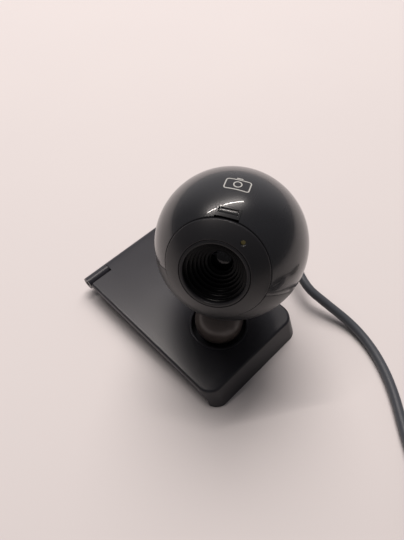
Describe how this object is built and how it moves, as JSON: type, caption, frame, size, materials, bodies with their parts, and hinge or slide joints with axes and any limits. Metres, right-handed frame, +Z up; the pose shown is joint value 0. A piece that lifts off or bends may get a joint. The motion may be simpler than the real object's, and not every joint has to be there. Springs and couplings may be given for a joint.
{
  "type": "webcam",
  "caption": "Ball-shaped desk webcam on a folding clip base, with a turning focus hood, a push button and a coiled USB cord.",
  "frame": {"origin": "on the head's swivel axis at desk level, under the middle of the round socket", "axes": "+Z up, -Y towards the clip's front lip, +Y towards the rear hinge"},
  "size_m": [0.1072, 0.1962, 0.0758],
  "materials": {
    "base_plastic": "satin moulded, dark grey",
    "neck_plastic": "semi-gloss moulded, near black",
    "gloss_shell": "high gloss, dark grey",
    "satin_shell": "fine satin, brown grey",
    "button_plastic": "semi-gloss",
    "hood_black": "fine matt, black",
    "black_plastic": "plain moulded",
    "white_plastic": "plain moulded",
    "tongue_plastic": "plain moulded",
    "tie_plastic": "satin strap",
    "nylon": "plain moulded",
    "rubber": "matt",
    "cord_sheath": "smooth matt, blue grey",
    "steel": "plain",
    "plated_steel": "bright nickel",
    "gold": "bright",
    "board_green": "solder mask",
    "clear_lamp": "clear, tinted",
    "sensor": "glossy",
    "filter_glass": "thin coated glass",
    "lens_glass": "clear, coated"
  },
  "bodies": {
    "base": {"clip_plate": "base_plastic", "socket_ring": "base_plastic", "thrust_washer": "nylon", "rest_pad": "rubber", "lip_pad": "rubber", "hinge_pin": "steel", "cord_lead": "cord_sheath", "cord_coil": "cord_sheath", "cord_end": "cord_sheath", "cord_tie": "tie_plastic", "usb_overmould": "cord_sheath", "usb_shell": "plated_steel", "usb_tongue": "tongue_plastic", "usb_contacts": "gold"},
    "leg": {"rear_leg": "base_plastic", "leg_grip_pad": "rubber", "foot_pads": "rubber"},
    "neck": {"neck": "neck_plastic", "swivel_washer": "nylon", "swivel_screw": "steel", "friction_washers": "nylon"},
    "head": {"upper_shell": "gloss_shell", "lower_shell": "satin_shell", "front_bezel": "satin_shell", "tilt_pin": "steel", "button_frame": "button_plastic", "tact_switch": "black_plastic", "button_board": "board_green", "main_board": "board_green", "board_screws": "steel", "shell_screws": "steel", "board_components": "black_plastic", "board_connector": "white_plastic", "inner_lead": "cord_sheath", "status_led": "clear_lamp", "led_pipe": "clear_lamp", "strain_relief": "cord_sheath", "image_sensor": "sensor", "lens_holder": "black_plastic", "ir_filter": "filter_glass", "cord_tail": "cord_sheath"},
    "focus_ring": {"focus_ring": "hood_black", "focus_clip": "steel"},
    "lens_barrel": {"lens_barrel": "black_plastic", "lens_retainer": "black_plastic", "lens_front": "lens_glass", "lens_middle": "lens_glass", "lens_rear": "lens_glass"},
    "snapshot_button": {"snapshot_button": "button_plastic"}
  },
  "joints": [
    {"name": "head_swivel", "type": "hinge", "parent": "base", "child": "neck", "pos_m": [0, 0, 0.012], "axis": [0, 0, 1], "range_deg": [-90, 45], "deforming": ["cord_tail"]},
    {"name": "head_tilt", "type": "hinge", "parent": "neck", "child": "head", "pos_m": [0, 0, 0.0264], "axis": [-0.4617, 0.887, 0], "range_deg": [-52, 3], "deforming": ["cord_tail"]},
    {"name": "leg_hinge", "type": "hinge", "parent": "base", "child": "leg", "pos_m": [0, 0.0556, 0.0063], "axis": [1, 0, 0], "range_deg": [0, 170]},
    {"name": "focus_turn", "type": "hinge", "parent": "head", "child": "focus_ring", "pos_m": [0.00996, 0.00519, 0.04829], "axis": [-0.7891, -0.4108, 0.4566], "range_deg": [-150, 150]},
    {"name": "lens_slide", "type": "slide", "parent": "focus_ring", "child": "lens_barrel", "axis": [-0.7891, -0.4108, 0.4566], "range_m": [-0.00021, 0.00021]},
    {"name": "button_press", "type": "slide", "parent": "head", "child": "snapshot_button", "axis": [0.2672, 0.1391, -0.9536], "range_m": [0, 0.0005], "stiffness_N_per_m": 400}
  ],
  "couplings": [
    {"joint": "lens_slide", "follows": "focus_turn", "m_per_rad": 0.00007958}
  ]
}
